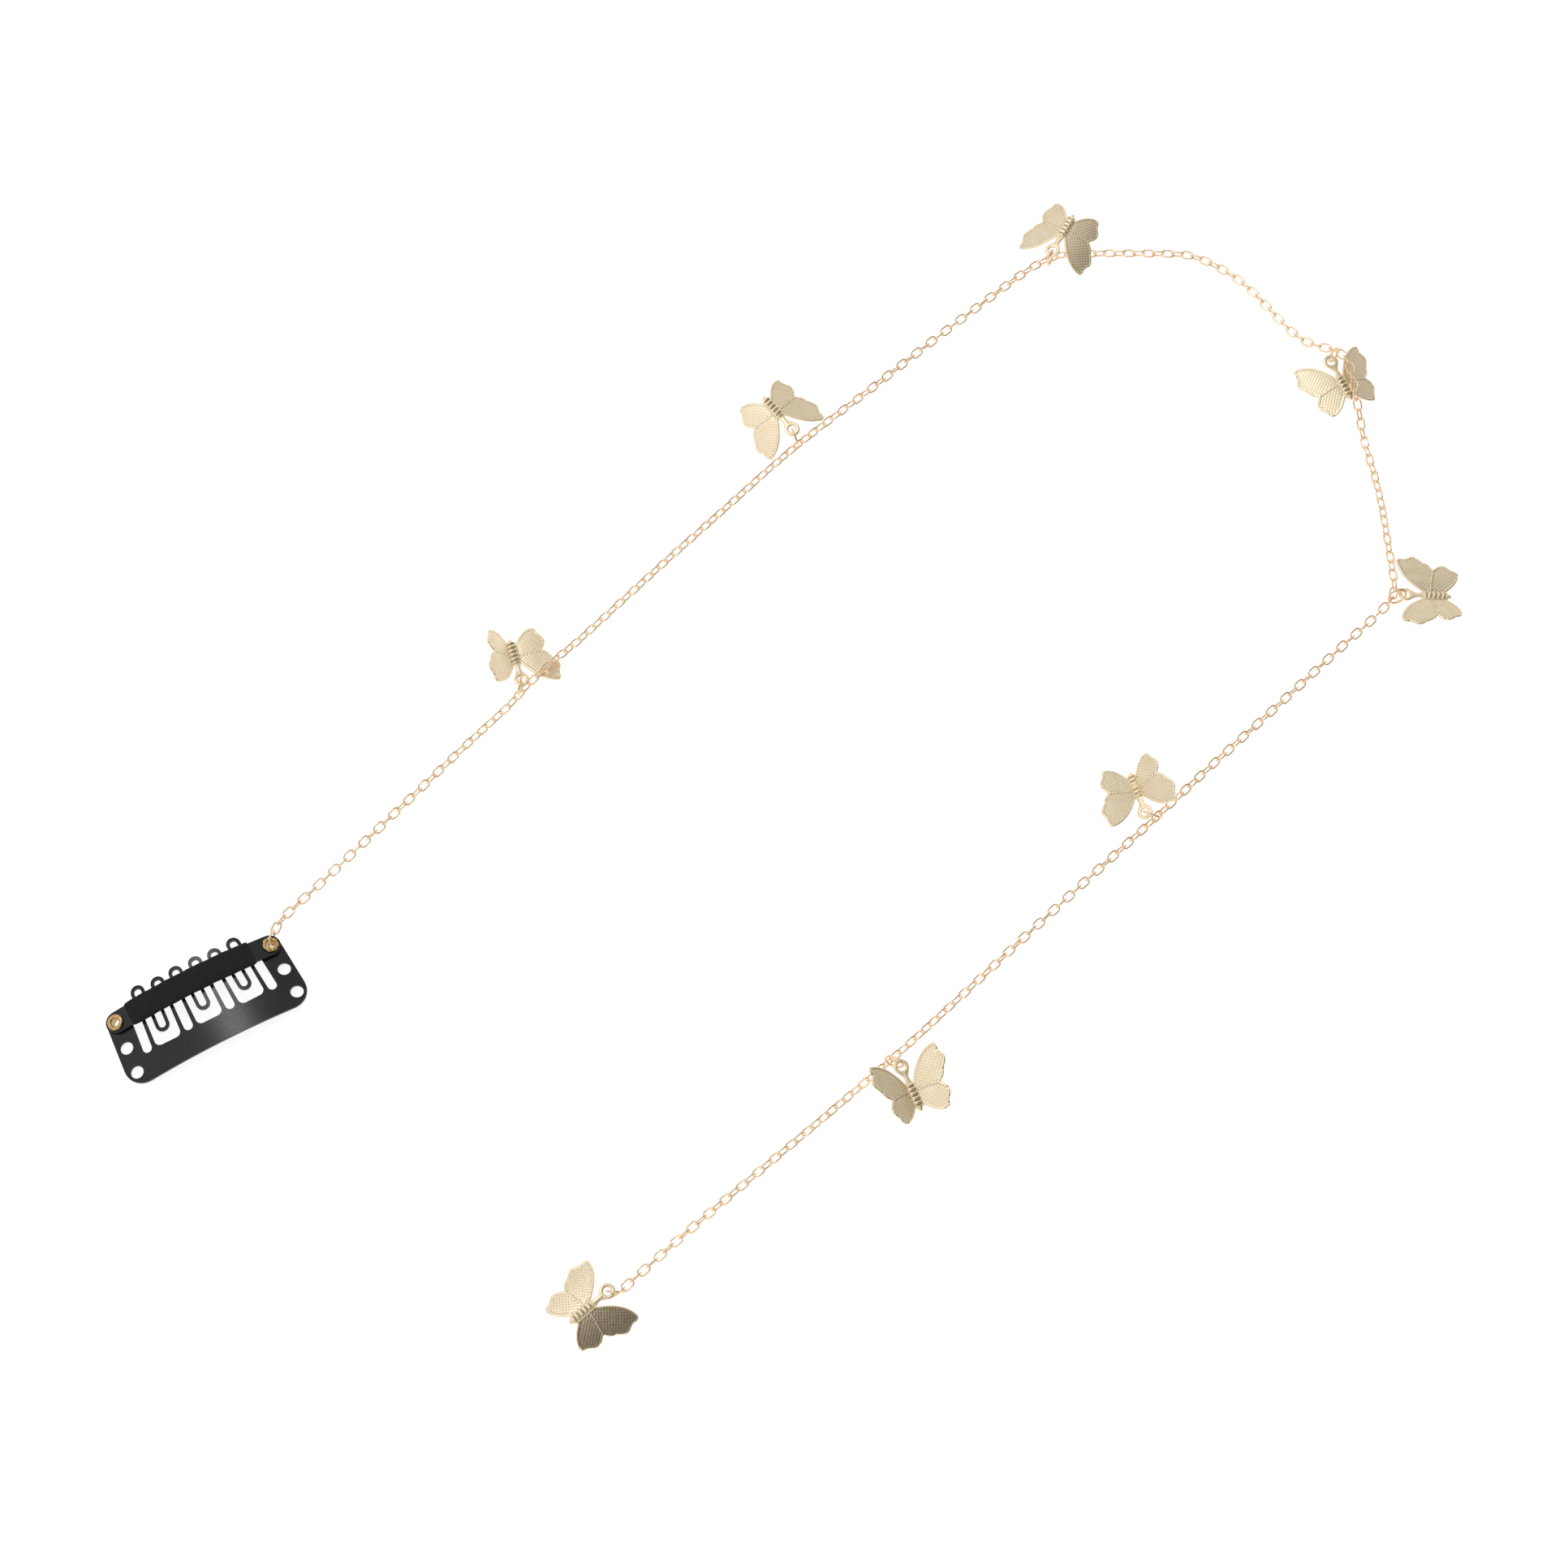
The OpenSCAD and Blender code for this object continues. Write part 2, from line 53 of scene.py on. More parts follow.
# clip
CLIP_AT = np.array([-100.38, 43.26])
CLIP_TURN = math.radians(-14.8)
CLIP_TILT = math.radians(0.65)
EYELET_SPACING = 27.1
PLATE_ARCH = 66.0
PLATE_THICKNESS = 0.45
PLATE_SIDE = 2.35
BAR_WIDTH = 3.55
BAR_THICKNESS = 0.4
BAR_GAP = 0.3
BAR_LIFT = 0.15
SLEEVE_LENGTH = 21.5
SLEEVE_MIDDLE = -0.4
SLEEVE_WALL = 0.45
SLEEVE_UNDER = 0.2
SLEEVE_SIDE = 0.3
EYELET_RIM = 2.66
EYELET_HOLE = 1.3
EYELET_LOBES = 7
EDGE_ROUNDING = 0.07
EDGE_ANGLE = math.radians(40)

# chain and rings
LINK_LENGTH = 2.42
LINK_WIDTH = 1.6
LINK_WIRE = 0.3
LINK_PITCH = 1.7
RING_WIRE = 0.4
RING_WIDTH = 2.2
RING_STRAIGHT = 0.8
CLIP_RING_R = 1.5
CLIP_RING_WIRE = 0.3
CLIP_RING_TURN = math.radians(50) + CLIP_TURN
# the middle of the right eyelet's hole, above the plate, and how far past it and beside it the clip ring's
# middle and the chain's start are
HOLE_RISE = 0.1
CLIP_RING_PAST = 1.24
CHAIN_PAST = 2.5
ASIDE = 0.06
CHAIN_START_Z = 0.55
# the jump rings' cut: the point of the oval where it starts and how much of that step the wire covers
RING_CUT = 4
RING_CUT_COVER = 0.25

# the chain's way: x, y and how far it is lifted off the table
ROUTE = [
    (-83.3, 42.15, 0.3), (-80, 42.6, 0), (-72, 43, 0), (-57, 44, 0), (-42, 45, 0), (-31.5, 45.45, 0.1),
    (-27.5, 45.7, 0.9), (-23.5, 45.9, 1.3), (-19.5, 46.1, 1.1), (-15.5, 46.4, 0.1), (-11, 46.6, 0),
    (5, 47.3, 0), (21, 47.8, 0), (36, 48.2, 0), (52, 47.6, 0), (67, 47, 0), (82, 46.2, 0), (91, 45.5, 0),
    (96.2, 44, 0), (100.6, 40.3, 0), (105, 36.2, 0), (108.7, 32.6, 0), (111, 30.3, 0), (113.1, 27.6, 0),
    (114.6, 23.5, 0), (115.4, 19, 0), (115.4, 14.5, 0), (114.9, 9, 0), (114.6, 4.6, 0), (115.1, 1.2, 0.4),
    (116.2, -1.8, 1.2), (116.7, -4.2, 2.05), (116, -6.4, 2.55), (114.5, -8.8, 2.6), (112.6, -11.3, 2.3),
    (110.8, -14.2, 1), (108.2, -17.9, 0), (104.6, -23.7, 0), (100.7, -29.2, 0), (96.4, -34.6, 0),
    (93.2, -38.6, 0), (90.6, -41.3, 0), (86.5, -42.1, 0), (75.3, -42.1, 0), (60.4, -42.2, 0),
    (45.5, -42.2, 0), (31, -42.4, 0), (16.2, -42.4, 0), (1.4, -42.5, 0), (-12.9, -42.7, 0),
    (-27.3, -42.7, 0), (-42.4, -42.3, 0), (-57.1, -41.7, 0), (-71.8, -41.2, 0), (-86, -41.1, 0),
]
ROUTE_STEPS = 8
ANCHOR = 4
# where the butterflies' links are past the anchor corner, and the roll of the even links there, in degrees
STATIONS = [(28.533, 74.9), (94.833, 69.2), (152.633, -8.1), (208.733, 23.4), (258.033, 76.7), (314.133, 45),
            (375.333, 135), (431.433, 79.1)]
# butterflies: the eye's place, how they are turned and folded, the link they hang on and their ring's tilt
Charm = namedtuple("Charm", "eye_x eye_y yaw pitch roll left_fold right_fold link ring_tilt")
CHARMS = [
    Charm(-26.42, 47.38, 154, 1.9, -12, 3, 38, 33, 91),
    Charm(38.06, 50.23, 177, -5.1, 3, -20, -20, 72, 76),
    Charm(95.19, 44.68, 107, -5.7, 4, -20, -20, 106, 59),
    Charm(114.07, -4.17, 342.5, 8, 4.7, -16, -16, 139, 63),
    Charm(91.69, -42.9, 45.3, 5.8, 10, 11, 11, 168, 54),
    Charm(31.85, -40.67, 153, 7.1, 17, 26, 25, 201, 68),
    Charm(-27.33, -44.82, 341, 7.4, 8.6, 26, 26, 237, 72),
    Charm(-85.89, -40.24, 270, -5.9, 5, -20, -20, 270, 67),
]

# butterfly, eye toward +y, right wing
SHEET = 0.4
HINGE = 0.45
EYE_Y = 5.1
EYE_SIZE = 2.6
EYE_HOLE = 1.3
BODY_WIDTH = 1.3
WING = [
    (0.3, 0.2), (0.3, 1.5), (0.9, 2.6), (1.75, 3.8), (2.75, 4.95), (3.9, 5.85), (5.1, 6.4), (6.2, 6.6),
    (6.65, 6.1), (6.55, 5.2), (6.75, 4.6), (7.1, 4.1), (7.1, 3.4), (6.7, 2.7), (6.2, 2.1), (5.9, 1.3),
    (5.4, 0.7), (4.75, 0.35), (5.25, -0.15), (5.65, -0.8), (5.7, -1.6), (5.35, -2.3), (4.85, -2.8),
    (4.75, -3.5), (4.35, -3.95), (3.6, -4), (2.6, -3.6), (1.6, -2.8), (0.9, -1.9), (0.3, -1.3),
]
SEAM = [(0.3, 0.8), (2.2, 0.72), (3.9, 0.42), (4.95, 0.3)]
NECK_HALF = [(0.75, 1.3), (0.7, 2.0), (0.52, 2.6), (0.42, 3.1), (0.5, 3.5), (0.85, 4.0), (1.0, 4.35),
             (0.55, 4.3)]
NECK_END = (0, 4.2)
BODY_HALF = [(0.0, -2.68), (0.3, -2.6), (0.42, -2.3), (0.68, -2.1), (0.8, -1.6), (0.83, -0.6), (0.83, 0.6),
             (0.8, 1.5), (0.68, 2.1), (0.4, 2.3), (0.0, 2.32)]
BODY_HEIGHT = 0.58
# short grooves across the body, counted from the head
GROOVES = 5
FIRST_GROOVE_Y = 1.55
GROOVE_PITCH = 0.78
GROOVE_DEPTH = 0.22
# between which distances from the wing's edge its border ends, and from the seam's line the seam
BORDER = (0.2, 0.48)
SEAM_BAND = (0.04, 0.22)
ROPE_RISE = 0.05
ROPE_SINK = 0.03
# woven pads sunk below the wing's border, the seam's rope and the wing's crown
WEAVE_PITCH = 0.46
WEAVE_TURN = math.radians(52)
WEAVE_STEPS = 6
RELIEF = 0.038
PAD_HEIGHT = 0.022
PAD_MIDDLE = 0.4
ROPE_PITCH = 0.42
CROWN = 0.16
WING_REACH = 6.4
# nicks along the wing's outer edge
NICKS = [(6.5, 5.25), (6.95, 2.95), (6.1, 1.95), (5.4, 0.75), (5.6, -1.0), (5.3, -2.35), (4.7, -3.35),
         (3.9, -3.9)]
NICK_DEPTH = 0.14
NICK_SPREAD = 0.03
# how far apart the outlines' points are
WING_EDGE_STEP = 0.085
BODY_EDGE_STEP = 0.08
NECK_EDGE_STEP = 0.09

# camera as fitted to the photograph: over CAMERA_FOOT, looking along CAMERA_HEADING and down
CAMERA_FOOT = np.array([-153.5, -164.3]) + SHIFT[:2]
CAMERA_HEIGHT = 529.75
CAMERA_HEADING = math.radians(49)
CAMERA_TILT = math.radians(22.826)
CAMERA_ROLL = math.radians(2.273)
CAMERA_LENS = 80.14
SENSOR_WIDTH = 36
# the table's side and height, in metres
TABLE_SIZE = 6
TABLE_Z = -0.00002

# soft boxes: name, direction (turn to the right of the camera's heading and rise, in degrees), distance and
# size in metres, watts
SOFT_BOXES = [("strip", (-30, 69), 1.2, 0.16, 1.0), ("left", (-95, 60), 1.3, 0.7, 0.6)]
# the studio's dark side, and its shades from beside that direction up to it
DARK_SIDE = (108, 32)
STUDIO_SHADES = [(0.0, (0.79, 0.78, 0.77)), (0.5, (0.77, 0.76, 0.745)), (0.66, (0.62, 0.605, 0.58)),
                 (0.8, (0.5, 0.48, 0.45)), (0.93, (0.05, 0.042, 0.036)), (1.0, (0.04, 0.035, 0.03))]


# meshes

def unit(v):
    """The same direction at length 1."""
    v = np.asarray(v, float)
    return v / np.linalg.norm(v)


def make_piece(name, verts, faces, material, slot, *nodes):
    """A mesh in millimetres becomes a piece that rides on the body and stands for the nodes."""
    mesh = bpy.data.meshes.new(name)
    mesh.from_pydata((np.asarray(verts) * MM).tolist(), [], [tuple(f) for f in faces])
    mesh.validate()
    mesh.update()
    piece = bpy.data.objects.new(name, mesh)
    bpy.context.scene.collection.objects.link(piece)
    mesh.materials.append(material)
    mesh.polygons.foreach_set("use_smooth", [True] * len(mesh.polygons))
    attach(piece, BODY)
    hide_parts(*nodes)


class Mesh:
    """Vertices and faces gathered from several parts."""

    def __init__(self):
        self.verts = []
        self.faces = []
        self.count = 0

    def add(self, verts, faces):
        self.verts.append(np.asarray(verts, float))
        self.faces += [[i + self.count for i in f] for f in faces]
        self.count += len(verts)

    def all_verts(self):
        return np.vstack(self.verts)


def grid_faces(rows, columns, close_rows=True):
    """Quads over rows x columns vertices, joined round the columns and, if asked, round the rows."""
    faces = []
    for i in range(rows if close_rows else rows - 1):
        for j in range(columns):
            k, m = (i + 1) % rows, (j + 1) % columns
            faces.append((i * columns + j, k * columns + j, k * columns + m, i * columns + m))
    return faces


def oval_line(width, straight, arc_steps=12, straight_steps=3):
    """Centre line of a flat oval and its outward normals, in its own plane."""
    points, normals = [], []
    r = width / 2
    for e in (1, -1):
        for i in range(arc_steps + 1):
            a = math.radians(-90 + 180 * i / arc_steps)
            normals.append((e * math.cos(a), e * math.sin(a)))
            points.append((e * (straight / 2 + r * math.cos(a)), e * r * math.sin(a)))
        for i in range(1, straight_steps):
            normals.append((0, e))
            points.append((e * straight * (0.5 - i / straight_steps), e * r))
    return np.array(points), np.array(normals)


def wire_loop(line, normals, radii, sides):
    """Closed wire along a plane line, with its own radius at each place."""
    a = 2 * math.pi * np.arange(sides) / sides
    rows = []
    for p, n, r in zip(line, normals, radii):
        out = r * np.cos(a)
        rows.append(np.column_stack([p[0] + n[0] * out, p[1] + n[1] * out, r * np.sin(a)]))
    return np.vstack(rows), grid_faces(len(line), sides)


def open_wire(line, normals, radius, sides):
    """Wire along an open plane line, a little thinner at its two ends, which are closed flat."""
    a = 2 * math.pi * np.arange(sides) / sides
    rows = []
    last = len(line) - 1
    for i, (p, n) in enumerate(zip(line, normals)):
        r = radius * (0.86 if i in (0, last) else 1)
        out = r * np.cos(a)
        rows.append(np.column_stack([p[0] + n[0] * out, p[1] + n[1] * out, r * np.sin(a)]))
    faces = grid_faces(len(line), sides, close_rows=False)
    faces.append(tuple(range(sides))[::-1])
    faces.append(tuple(last * sides + j for j in range(sides)))
    return np.vstack(rows), faces


def soften(points, rounds):
    """Chaikin's corner cutting of a closed outline."""
    p = np.asarray(points, float)
    for _ in range(rounds):
        q = np.roll(p, -1, axis=0)
        p = np.stack([0.75 * p + 0.25 * q, 0.25 * p + 0.75 * q], axis=1).reshape(-1, 2)
    return p


def resample(loop, step):
    """The same closed outline with points about step apart."""
    q = np.vstack([loop, loop[:1]])
    far = np.concatenate([[0], np.cumsum(np.linalg.norm(np.diff(q, axis=0), axis=1))])
    at = np.linspace(0, far[-1], max(8, int(far[-1] / step)), endpoint=False)
    return np.column_stack([np.interp(at, far, q[:, 0]), np.interp(at, far, q[:, 1])])


def line_distance(points, line, closed=False):
    """Distance of each point to a polyline, and how far along the line its nearest place is."""
    a = np.asarray(line, float)
    b = np.roll(a, -1, axis=0) if closed else a[1:]
    a = a if closed else a[:-1]
    d = b - a
    long = np.linalg.norm(d, axis=1)
    start = np.concatenate([[0], np.cumsum(long)[:-1]])
    rel = points[:, None, :] - a[None]
    t = np.clip((rel * d[None]).sum(2) / (long**2)[None], 0, 1)
    gap = np.linalg.norm(rel - t[..., None] * d[None], axis=2)
    best = gap.argmin(1)
    rows = np.arange(len(points))
    return gap[rows, best], start[best] + t[rows, best] * long[best]


def inside(points, loop):
    """Even-odd test of many points against a closed outline."""
    x, y = points[:, 0], points[:, 1]
    hit = np.zeros(len(points), bool)
    for (x1, y1), (x2, y2) in zip(loop, np.roll(loop, -1, axis=0)):
        if y1 != y2:
            cross = ((y1 > y) != (y2 > y)) & (x < (x2 - x1) * (y - y1) / (y2 - y1) + x1)
            hit ^= cross
    return hit


def insets(loop, steps):
    """Rings of points inside an outline, at the given distances from it."""
    ahead, behind = np.roll(loop, -1, axis=0), np.roll(loop, 1, axis=0)
    along = ahead - behind
    normal = np.column_stack([-along[:, 1], along[:, 0]]) / np.linalg.norm(along, axis=1)[:, None]
    if not inside(loop[:1] + 0.01 * normal[:1], loop)[0]:
        normal = -normal
    rings = []
    for step in steps:
        ring = loop + step * normal
        gap, _ = line_distance(ring, loop, closed=True)
        rings.append(ring[inside(ring, loop) & (gap > 0.85 * step)])
    return np.vstack(rings)


def triangles(outline, inner):
    """Plan points and triangles over an outline; the outline's points come first."""
    rim = len(outline)
    coords = [Vector((float(p[0]), float(p[1]))) for p in np.vstack([outline, inner])]
    out = delaunay_2d_cdt(coords, [], [list(range(rim))], 1, 1e-6)
    points = np.array([(v.x, v.y) for v in out[0]])
    order = {}
    for i, origin in enumerate(out[3]):
        for k in origin:
            if k < rim:
                order[k] = i
    first = [order[k] for k in range(rim)]
    rest = [i for i in range(len(points)) if i not in set(first)]
    new = {old: i for i, old in enumerate(first + rest)}
    return points[first + rest], [tuple(new[i] for i in f) for f in out[2] if len(f) == 3]


def plate(outline, fine, coarse, top, low, place):
    """A plate over an outline, fine points on its upper face and coarse ones below, with one rim.

    top and low give heights over points and their distance to the rim; place bends the plate."""
    rim = len(outline)
    above, up_faces = triangles(outline, np.vstack([fine, insets(outline, (0.03, 0.08, 0.15))]))
    below, low_faces = triangles(outline, np.vstack([coarse, insets(outline, (0.05, 0.14))]))
    gap, _ = line_distance(above, outline, closed=True)
    gap[:rim] = 0
    upper = place(above, top(above, gap))
    gap, _ = line_distance(below, outline, closed=True)
    gap[:rim] = 0
    lower = place(below, low(below, gap))
    more = len(above) - rim
    faces = up_faces + [tuple(i if i < rim else i + more for i in f[::-1]) for f in low_faces]
    return np.vstack([upper, lower[rim:]]), faces


def plan_grid(outline, step, keep, turn=0.0):
    """Points of a square grid inside an outline, at least keep from it."""
    low, high = outline.min(0) - 1, outline.max(0) + 1
    reach = int(np.hypot(*(high - low)) / step) + 2
    k = np.arange(-reach, reach + 1) * step
    u, v = (g.ravel() for g in np.meshgrid(k, k))
    x, y = u * math.cos(turn) - v * math.sin(turn), u * math.sin(turn) + v * math.cos(turn)
    p = np.column_stack([x, y])
    p = p[(p > low).all(1) & (p < high).all(1)]
    p = p[inside(p, outline)]
    gap, _ = line_distance(p, outline, closed=True)
    return p[gap > keep]


def rounded(gap, radius):
    """0 at the rim, 1 from radius inward, along a quarter circle."""
    t = 1 - np.clip(gap / radius, 0, 1)
    return np.sqrt(np.clip(1 - t * t, 0, 1))


def step_up(x, a, b):
    """0 below a, 1 above b, smooth between."""
    t = np.clip((x - a) / (b - a), 0, 1)
    return t * t * (3 - 2 * t)


# places, as in the part's source

def turned(p, angle):
    """A plane point turned about the origin."""
    c, s = math.cos(angle), math.sin(angle)
    return np.array([p[0] * c - p[1] * s, p[0] * s + p[1] * c])


HALF = EYELET_SPACING / 2
TOP_R = PLATE_ARCH
LOW_R = PLATE_ARCH - PLATE_THICKNESS
END_X = HALF + PLATE_SIDE
ARCH_DOWN = math.sqrt(LOW_R**2 - END_X**2)
EYE_ANGLE = math.asin(HALF / TOP_R)
EYE_TOP_Z = math.sqrt(TOP_R**2 - HALF**2) - ARCH_DOWN
BAR_FOOT = (HALF + BAR_GAP * math.sin(EYE_ANGLE), EYE_TOP_Z + BAR_GAP * math.cos(EYE_ANGLE))
BAR_RISE = BAR_LIFT + TOP_R - math.sqrt(TOP_R**2 - HALF**2)
BAR_LOW_R = (BAR_FOOT[0]**2 + BAR_RISE**2) / (2 * BAR_RISE)
BAR_DOWN = math.sqrt(BAR_LOW_R**2 - BAR_FOOT[0]**2) - BAR_FOOT[1]
CLIP_RISE = END_X * math.sin(CLIP_TILT)


def clip_points(points):
    """Points of the clip's own frame, brought into the shared frame.

    In its own frame x goes from eyelet to eyelet and y to the teeth's tips."""
    p = np.atleast_2d(np.asarray(points, float))
    c, s = math.cos(CLIP_TILT), math.sin(CLIP_TILT)
    x, z = p[:, 0] * c - p[:, 2] * s, p[:, 0] * s + p[:, 2] * c
    ct, st = math.cos(CLIP_TURN), math.sin(CLIP_TURN)
    at = CLIP_AT + SHIFT[:2]
    return np.column_stack([at[0] + x * ct - p[:, 1] * st, at[1] + x * st + p[:, 1] * ct, z + CLIP_RISE])


hole_mid = clip_points([HALF + HOLE_RISE * math.sin(EYE_ANGLE), 0,
                        EYE_TOP_Z + HOLE_RISE * math.cos(EYE_ANGLE)])[0]


def past_hole(r):
    """Plane point r beyond the right eyelet's hole, along the clip ring."""
    return hole_mid[:2] + turned((r, ASIDE), CLIP_RING_TURN)


clip_ring_at = np.append(past_hole(CLIP_RING_PAST), CLIP_RING_R + CLIP_RING_WIRE / 2 + 0.02)
chain_start = np.append(past_hole(CHAIN_PAST), CHAIN_START_Z)

corners = np.vstack([chain_start - SHIFT, np.array(ROUTE, float)])
ends = np.vstack([2 * corners[0] - corners[1], corners, 2 * corners[-1] - corners[-2]])


def bend(a, b, c, d, t):
    """Place at t between b and c on a smooth curve through four corners."""
    return 0.5 * (2 * b + (c - a) * t + (2 * a - 5 * b + 4 * c - d) * t**2 + (3 * b - a - 3 * c + d) * t**3)


way = [bend(*ends[i:i + 4], j / ROUTE_STEPS) for i in range(len(corners) - 1) for j in range(ROUTE_STEPS)]
way = np.array(way + [corners[-1]]) + SHIFT
far = np.concatenate([[0], np.cumsum(np.linalg.norm(np.diff(way, axis=0), axis=1))])
hung_at = [far[ANCHOR * ROUTE_STEPS] + s[0] for s in STATIONS]
hung_on = [charm.link for charm in CHARMS]
links = hung_on[-1] + 1


def on_way(s):
    """Point of the chain's way at s along it."""
    return np.array([np.interp(s, far, way[:, k]) for k in range(3)])


def mark(i):
    """How far along the way link number i has its middle."""
    return np.interp(i, [-0.5] + hung_on + [links], [0] + hung_at + [hung_at[-1] + LINK_PITCH])


def roll_at(s):
    """Roll of the even links at s along the way."""
    return math.radians(np.interp(s, [0] + hung_at, [0] + [t[1] for t in STATIONS]))


def axis_height(s):
    """How far a link's axis is above what it lies on."""
    b = roll_at(s)
    return max(abs(math.sin(b)), abs(math.cos(b))) * (LINK_WIDTH - LINK_WIRE) / 2 + LINK_WIRE / 2


def link_axes(i, jitter=0.0):
    """Centre, length, width and thickness directions of link i."""
    a, b = on_way(mark(i - 0.5)), on_way(mark(i + 0.5))
    centre = (a + b) / 2 + np.array([0, 0, axis_height(mark(i))])
    d = unit(b - a)
    side = unit([-d[1], d[0], 0])
    up = np.cross(d, side)
    roll = roll_at(mark(i)) + (i % 2) * math.pi / 2 + jitter
    wide = side * math.cos(roll) + up * math.sin(roll)
    return centre, d, wide, np.cross(d, wide)


def pose_matrix(charm):
    """How a butterfly is turned."""
    yaw, pitch, roll = (math.radians(v) for v in (charm.yaw, charm.pitch, charm.roll))
    turn = Matrix.Rotation(yaw, 3, "Z") @ Matrix.Rotation(pitch, 3, "X") @ Matrix.Rotation(roll, 3, "Y")
    return np.array(turn)


wing_edge = soften(WING, 1)


def charm_origin(charm):
    """Where the butterfly's middle is, with its lowest place on the table."""
    m = pose_matrix(charm)
    plan = []
    for side, fold in ((1, math.radians(charm.right_fold)), (-1, math.radians(charm.left_fold))):
        for x, y in wing_edge:
            plan.append((side * (HINGE + (x - HINGE) * math.cos(fold)), y, (x - HINGE) * math.sin(fold)))
    for a in range(0, 360, 15):
        a = math.radians(a)
        plan.append((EYE_SIZE / 2 * math.cos(a), EYE_Y + EYE_SIZE / 2 * math.sin(a), 0))
    plan += [(x * BODY_WIDTH / 2, y, 0) for x in (-1, 1) for y in (-2, 2)]
    height = SHEET / 2 - (np.array(plan) @ m.T)[:, 2].min()
    eye = m @ np.array([0, EYE_Y, 0])
    return np.array([charm.eye_x - eye[0], charm.eye_y - eye[1], height]) + SHIFT


# materials

# the sockets that a Mix node uses for colours
MIX_COLOUR_A, MIX_COLOUR_B, MIX_COLOUR_OUT = 6, 7, 2


def new_material(name):
    """A material with its nodes, its wires and its surface shader."""
    material = bpy.data.materials.new(name)
    material.use_nodes = True
    nodes = material.node_tree.nodes
    return material, nodes, material.node_tree.links, nodes["Principled BSDF"]


def noise(nodes, wires, scale, detail=3.0, rough=0.5):
    """A noise texture over object coordinates; scale counts its waves in one millimetre."""
    coords = nodes.new("ShaderNodeTexCoord")
    texture = nodes.new("ShaderNodeTexNoise")
    texture.inputs["Scale"].default_value = scale / MM
    texture.inputs["Detail"].default_value = detail
    texture.inputs["Roughness"].default_value = rough
    wires.new(coords.outputs["Object"], texture.inputs["Vector"])
    return texture.outputs["Fac"]


def ramp(nodes, wires, source, stops):
    """Colours or greys over a factor: stops are (place, colour)."""
    node = nodes.new("ShaderNodeValToRGB")
    elements = node.color_ramp.elements
    while len(elements) < len(stops):
        elements.new(0.5)
    for element, (place, colour) in zip(elements, stops):
        element.position = place
        element.color = (*colour, 1) if isinstance(colour, (tuple, list)) else (colour, colour, colour, 1)
    wires.new(source, node.inputs["Fac"])
    return node.outputs["Color"]


def bump(nodes, wires, bsdf, source, strength, distance):
    """Bumps of the source's height, distance in millimetres."""
    node = nodes.new("ShaderNodeBump")
    node.inputs["Strength"].default_value = strength
    node.inputs["Distance"].default_value = distance * MM
    wires.new(source, node.inputs["Height"])
    wires.new(node.outputs["Normal"], bsdf.inputs["Normal"])


def metal(name, pale, deep, smooth, dull, scale=0.5, hollow_shade_factor=None):
    """Plated metal: colour and roughness drift a little over it, and it is finely burnished.

    A given hollow factor darkens the hollows by it: painted shade in the grooves, not a colour of the metal."""
    material, nodes, wires, bsdf = new_material(name)
    bsdf.inputs["Metallic"].default_value = 1.0
    colour = ramp(nodes, wires, noise(nodes, wires, scale), [(0.35, deep), (0.65, pale)])
    if hollow_shade_factor:
        # painted shade: where the surface is hollow (low pointiness) the colour is darkened
        shape = nodes.new("ShaderNodeNewGeometry")
        painted_hollow_shade = ramp(nodes, wires, shape.outputs["Pointiness"], [(0.484, hollow_shade_factor), (0.5, 1.0)])
        mix = nodes.new("ShaderNodeMix")
        mix.data_type = "RGBA"
        mix.blend_type = "MULTIPLY"
        mix.inputs["Factor"].default_value = 1.0
        wires.new(colour, mix.inputs[MIX_COLOUR_A])
        wires.new(painted_hollow_shade, mix.inputs[MIX_COLOUR_B])
        colour = mix.outputs[MIX_COLOUR_OUT]
    wires.new(colour, bsdf.inputs["Base Color"])
    fine = noise(nodes, wires, 3.0, detail=4.0)
    wires.new(ramp(nodes, wires, fine, [(0.3, smooth), (0.75, dull)]), bsdf.inputs["Roughness"])
    bump(nodes, wires, bsdf, noise(nodes, wires, 9.0), 0.12, 0.01)
    return material


def coated_steel():
    """Black coated steel of the plate and the bar, satin and finely grained."""
    material, nodes, wires, bsdf = new_material("black_coated_steel")
    drift = noise(nodes, wires, 0.25)
    wires.new(ramp(nodes, wires, drift, [(0.3, (0.007, 0.0085, 0.009)), (0.7, (0.011, 0.013, 0.0138))]),
              bsdf.inputs["Base Color"])
    fine = noise(nodes, wires, 4.0, detail=5.0)
    wires.new(ramp(nodes, wires, fine, [(0.3, 0.2), (0.75, 0.27)]), bsdf.inputs["Roughness"])
    bsdf.inputs["Specular IOR Level"].default_value = 0.34
    bump(nodes, wires, bsdf, noise(nodes, wires, 7.0, detail=4.0), 0.1, 0.01)
    return material


def sleeve_rubber():
    """Matte black rubber with a little dust."""
    material, nodes, wires, bsdf = new_material("sleeve_rubber")
    drift = noise(nodes, wires, 0.8, detail=6.0, rough=0.7)
    wires.new(ramp(nodes, wires, drift, [(0.25, (0.01, 0.0118, 0.0118)), (0.62, (0.0155, 0.0178, 0.0178)),
                                         (0.8, (0.03, 0.031, 0.03))]), bsdf.inputs["Base Color"])
    bsdf.inputs["Roughness"].default_value = 0.75
    bsdf.inputs["Specular IOR Level"].default_value = 0.2
    bump(nodes, wires, bsdf, noise(nodes, wires, 5.0, detail=6.0, rough=0.7), 0.35, 0.03)
    return material


chain_gold = metal("chain_gold", (0.96, 0.765, 0.545), (0.9, 0.67, 0.44), 0.17, 0.28)
